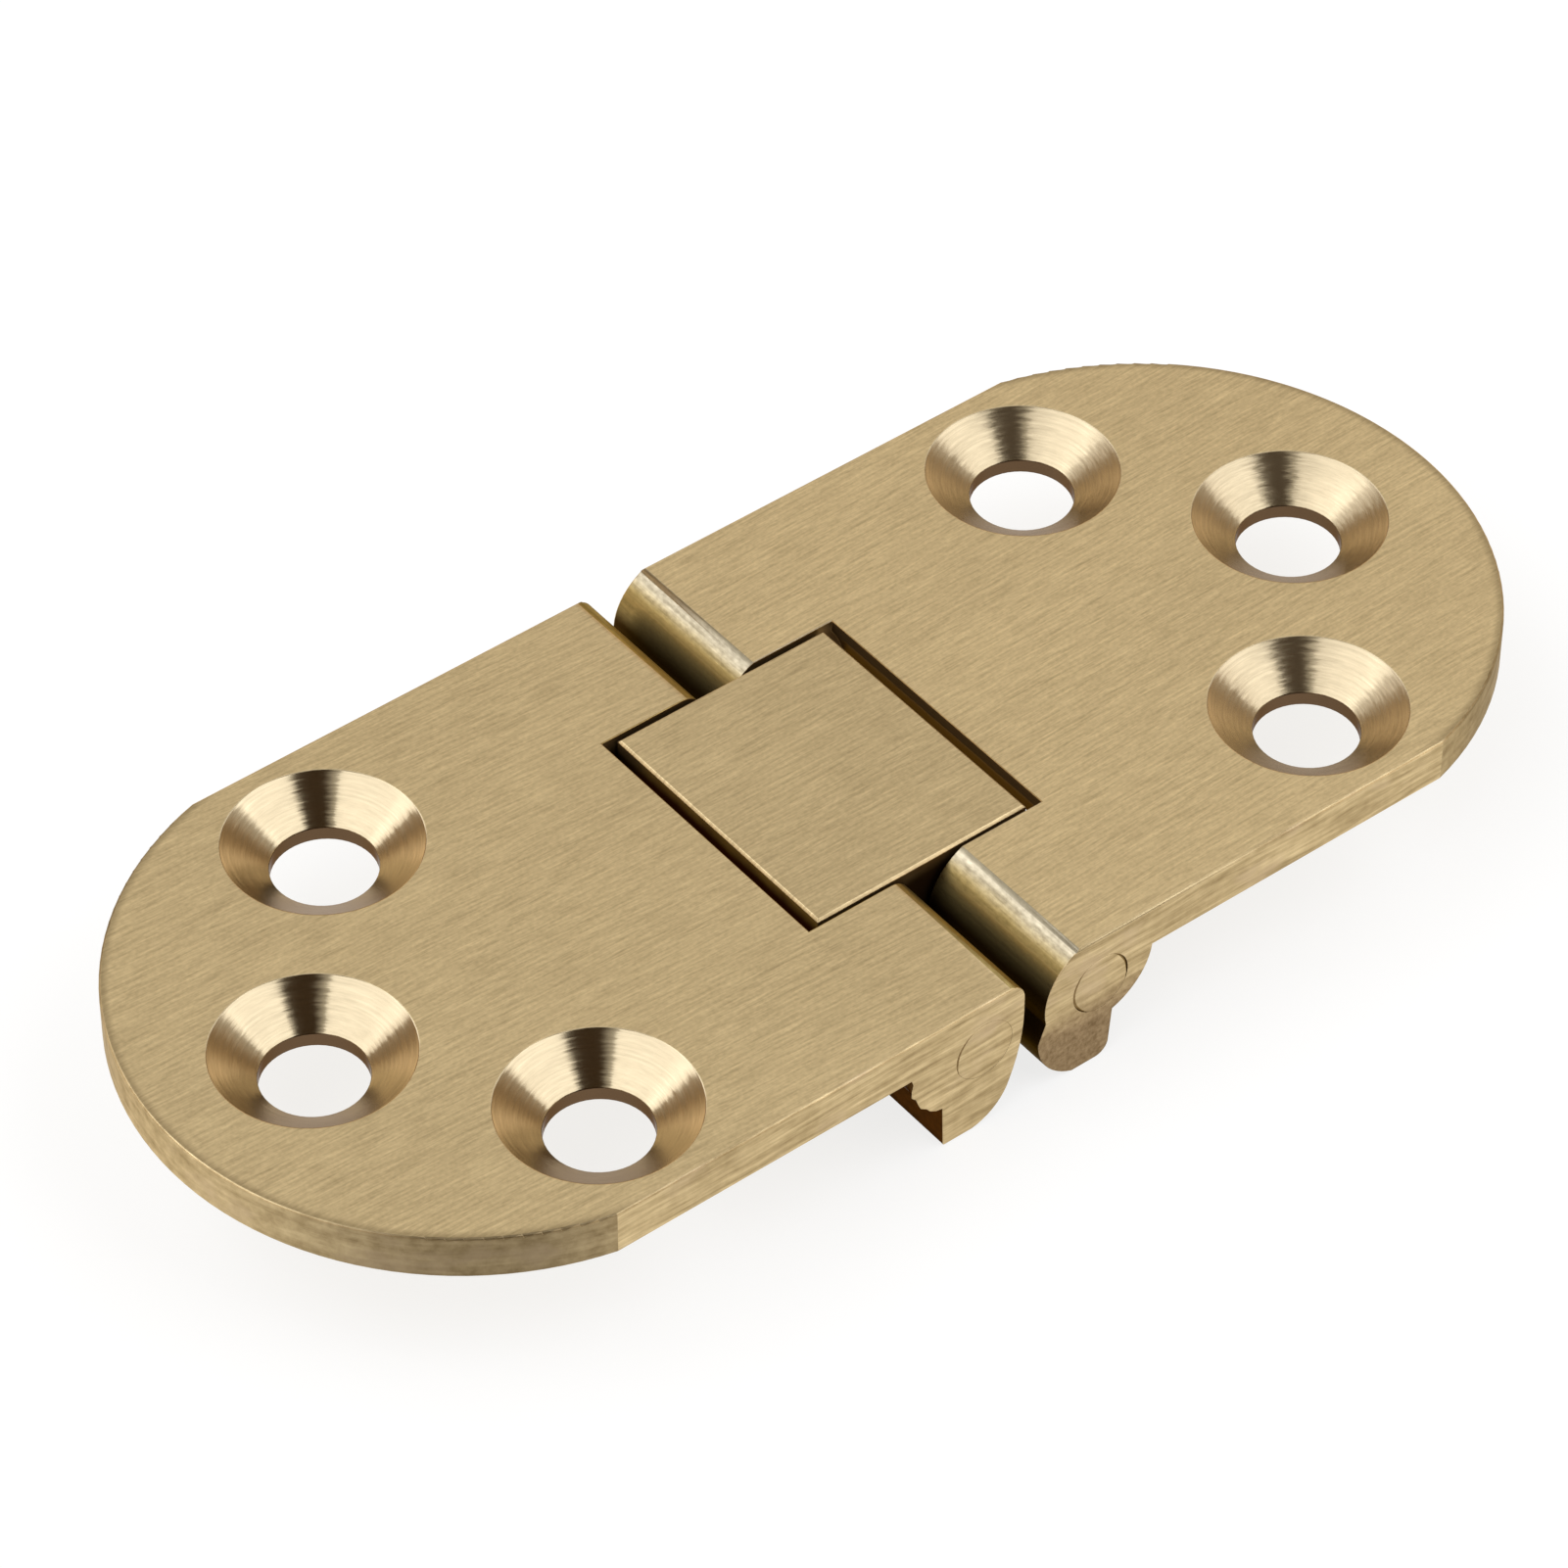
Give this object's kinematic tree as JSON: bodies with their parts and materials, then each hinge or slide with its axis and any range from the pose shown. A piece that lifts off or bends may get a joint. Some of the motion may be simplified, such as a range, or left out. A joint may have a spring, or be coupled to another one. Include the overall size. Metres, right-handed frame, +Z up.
{
  "type": "flip top hinge",
  "caption": "Flush brass flip top hinge: round-ended countersunk leaves on cross pins in a flat centre link, folding from open flat until their top faces close together.",
  "frame": {"origin": "middle of the open hinge in plan, on the plane that the two stop lobes stand on", "axes": "+X along the open hinge towards the flap leaf, +Y along the pins, +Z up out of the flush top face"},
  "size_m": [0.068, 0.03, 0.0072],
  "materials": {
    "brushed_brass": "satin brushed",
    "drawn_brass": "drawn, ends ground flush"
  },
  "bodies": {
    "fixed_leaf": {"fixed_leaf": "brushed_brass", "fixed_leaf_pin": "drawn_brass"},
    "centre_link": {"centre_link": "brushed_brass"},
    "flap_leaf": {"flap_leaf": "brushed_brass", "flap_leaf_pin": "drawn_brass"}
  },
  "joints": [
    {"name": "fixed_leaf_pivot", "type": "hinge", "parent": "fixed_leaf", "child": "centre_link", "pos_m": [-0.00315, 0, 0.00445], "axis": [0, -1, 0], "range_deg": [0, 90]},
    {"name": "flap_leaf_pivot", "type": "hinge", "parent": "centre_link", "child": "flap_leaf", "pos_m": [0.00315, 0, 0.00445], "axis": [0, -1, 0], "range_deg": [0, 90]}
  ]
}
